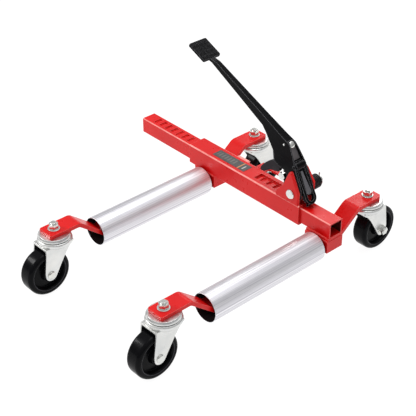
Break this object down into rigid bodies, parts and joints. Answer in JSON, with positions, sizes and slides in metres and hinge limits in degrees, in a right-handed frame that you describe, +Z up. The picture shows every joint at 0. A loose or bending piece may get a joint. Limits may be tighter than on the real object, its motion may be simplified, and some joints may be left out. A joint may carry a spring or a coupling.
{
  "type": "wheel positioning dolly",
  "caption": "Car positioning dolly: two rollers on a telescoping tube close under a tyre by a ratchet foot pedal and lift it onto swivel casters.",
  "frame": {"origin": "middle of the footprint, on the floor", "axes": "+X along the telescoping tube towards the sliding jaw, +Y along the rollers towards the pedal end, +Z up"},
  "size_m": [0.623, 0.747, 0.4157],
  "materials": {
    "red_paint": "gloss red powder coat over welded steel",
    "zinc": "bright zinc plated steel",
    "roller_aluminium": "extruded and polished, fine lines along the tube",
    "black_paint": "satin black powder coat",
    "dark_steel": "dark oxide steel, slightly polished",
    "wheel_black": "hard black wheel with a rounded, lightly polished tread",
    "nylon": "dark nylon bearing",
    "label": "plain dark sticker with an orange band, no lettering"
  },
  "bodies": {
    "frame": {"outer_sleeve": "red_paint", "near_ear": "red_paint", "far_ear": "red_paint", "label_plate": "label", "left_saddle": "red_paint", "left_front_strap": "red_paint", "left_rear_strap": "red_paint", "left_roller_axle": "zinc", "pedal_pivot_pin": "zinc", "cotter_pin": "zinc", "spring_washer": "zinc", "return_spring": "black_paint", "holding_pawl_bolt": "zinc", "holding_pawl_spring": "dark_steel", "left_kingpins": "zinc", "left_kingpin_nuts": "zinc", "left_kingpin_washers": "zinc", "left_upper_races": "zinc"},
    "sliding_jaw": {"inner_tube": "red_paint", "right_saddle": "red_paint", "spacer_plate": "red_paint", "right_front_strap": "red_paint", "right_rear_strap": "red_paint", "right_roller_axle": "zinc", "right_kingpins": "zinc", "right_kingpin_nuts": "zinc", "right_kingpin_washers": "zinc", "right_upper_races": "zinc"},
    "left_roller": {"left_roller_tube": "roller_aluminium", "left_roller_bushes": "nylon"},
    "right_roller": {"right_roller_tube": "roller_aluminium", "right_roller_bushes": "nylon"},
    "pedal": {"pedal_arm": "black_paint", "foot_pad": "black_paint", "leaf_spring": "dark_steel", "leaf_spring_bolt": "zinc", "drive_pawl_pin": "zinc", "stop_toe": "dark_steel"},
    "drive_pawl_body": {"drive_pawl": "black_paint"},
    "holding_pawl_body": {"holding_pawl": "black_paint"},
    "lf_swivel": {"lf_fork": "zinc", "lf_axle": "zinc", "lf_axle_nut": "zinc"},
    "lf_roll": {"lf_wheel": "wheel_black", "lf_wheel_bush": "zinc"},
    "rf_swivel": {"rf_fork": "zinc", "rf_axle": "zinc", "rf_axle_nut": "zinc"},
    "rf_roll": {"rf_wheel": "wheel_black", "rf_wheel_bush": "zinc"},
    "lr_swivel": {"lr_fork": "zinc", "lr_axle": "zinc", "lr_axle_nut": "zinc"},
    "lr_roll": {"lr_wheel": "wheel_black", "lr_wheel_bush": "zinc"},
    "rr_swivel": {"rr_fork": "zinc", "rr_axle": "zinc", "rr_axle_nut": "zinc"},
    "rr_roll": {"rr_wheel": "wheel_black", "rr_wheel_bush": "zinc"}
  },
  "joints": [
    {"name": "jaw_slide", "type": "slide", "parent": "frame", "child": "sliding_jaw", "axis": [1, 0, 0], "range_m": [-0.02, 0.25]},
    {"name": "left_roller_spin", "type": "hinge", "parent": "frame", "child": "left_roller", "pos_m": [-0.082, -0.0305, 0.0883], "axis": [0, 1, 0], "continuous": true},
    {"name": "right_roller_spin", "type": "hinge", "parent": "sliding_jaw", "child": "right_roller", "pos_m": [0.274, -0.0305, 0.0883], "axis": [0, 1, 0], "continuous": true},
    {"name": "pedal_press", "type": "hinge", "parent": "frame", "child": "pedal", "pos_m": [0.1935, 0.1555, 0.1785], "axis": [0, -1, 0], "range_deg": [0, 18], "stiffness_Nm_per_rad": 12, "springref_deg": -20.05},
    {"name": "drive_pawl_pivot", "type": "hinge", "parent": "pedal", "child": "drive_pawl_body", "pos_m": [0.1935, 0.1555, 0.2405], "axis": [0, -1, 0], "range_deg": [-14.6, 0]},
    {"name": "holding_pawl_release", "type": "hinge", "parent": "frame", "child": "holding_pawl_body", "pos_m": [0.1555, 0.1555, 0.2015], "axis": [0, 1, 0], "range_deg": [0, 14], "stiffness_Nm_per_rad": 0.3, "springref_deg": -20.05},
    {"name": "lf_swivel_turn", "type": "hinge", "parent": "frame", "child": "lf_swivel", "pos_m": [-0.082, -0.2905, 0.11], "axis": [0, 0, 1], "continuous": true},
    {"name": "lf_wheel_spin", "type": "hinge", "parent": "lf_swivel", "child": "lf_roll", "pos_m": [-0.082, -0.3215, 0.052], "axis": [1, 0, 0], "continuous": true},
    {"name": "rf_swivel_turn", "type": "hinge", "parent": "sliding_jaw", "child": "rf_swivel", "pos_m": [0.274, -0.2905, 0.11], "axis": [0, 0, 1], "continuous": true},
    {"name": "rf_wheel_spin", "type": "hinge", "parent": "rf_swivel", "child": "rf_roll", "pos_m": [0.274, -0.3215, 0.052], "axis": [1, 0, 0], "continuous": true},
    {"name": "lr_swivel_turn", "type": "hinge", "parent": "frame", "child": "lr_swivel", "pos_m": [-0.082, 0.2905, 0.11], "axis": [0, 0, 1], "continuous": true},
    {"name": "lr_wheel_spin", "type": "hinge", "parent": "lr_swivel", "child": "lr_roll", "pos_m": [-0.082, 0.3215, 0.052], "axis": [1, 0, 0], "continuous": true},
    {"name": "rr_swivel_turn", "type": "hinge", "parent": "sliding_jaw", "child": "rr_swivel", "pos_m": [0.274, 0.2905, 0.11], "axis": [0, 0, 1], "continuous": true},
    {"name": "rr_wheel_spin", "type": "hinge", "parent": "rr_swivel", "child": "rr_roll", "pos_m": [0.274, 0.3215, 0.052], "axis": [1, 0, 0], "continuous": true}
  ],
  "couplings": [
    {"joint": "drive_pawl_pivot", "follows": "pedal_press", "ratio": -0.8}
  ]
}
